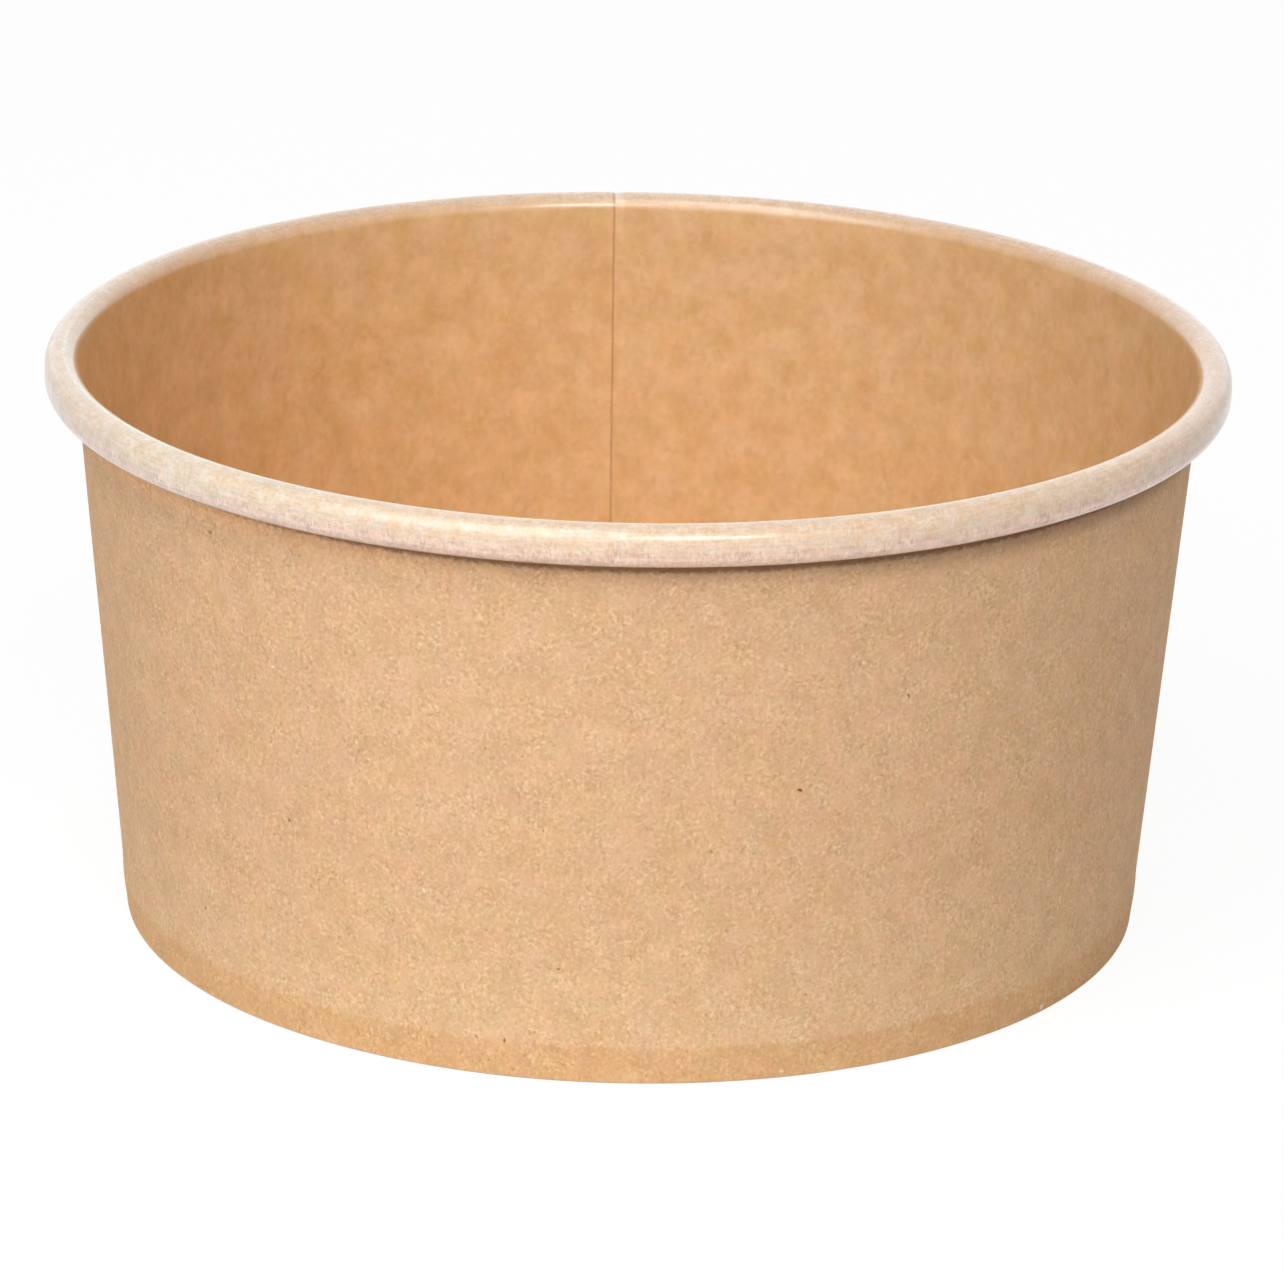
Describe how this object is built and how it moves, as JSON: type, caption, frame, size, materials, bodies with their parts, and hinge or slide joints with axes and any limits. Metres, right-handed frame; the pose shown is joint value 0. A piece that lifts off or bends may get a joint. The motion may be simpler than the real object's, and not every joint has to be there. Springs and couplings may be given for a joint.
{
  "type": "disposable paper salad bowl",
  "caption": "Round disposable salad bowl of brown paperboard, with a gently tapered wall, a rolled rim, a lapped side seam and a flanged base disc held by a folded hem.",
  "frame": {"origin": "centre of the ring that the bowl stands on, at table height", "axes": "+Z along the bowl's axis, up through the mouth; the side seam is at the back, near +Y"},
  "size_m": [0.15, 0.15, 0.074],
  "materials": {
    "wall_board": "matte outside, satin film inside",
    "base_board": "satin film above, matte below"
  },
  "bodies": {
    "root": {"sidewall": "wall_board", "base_disc": "base_board"}
  },
  "joints": []
}
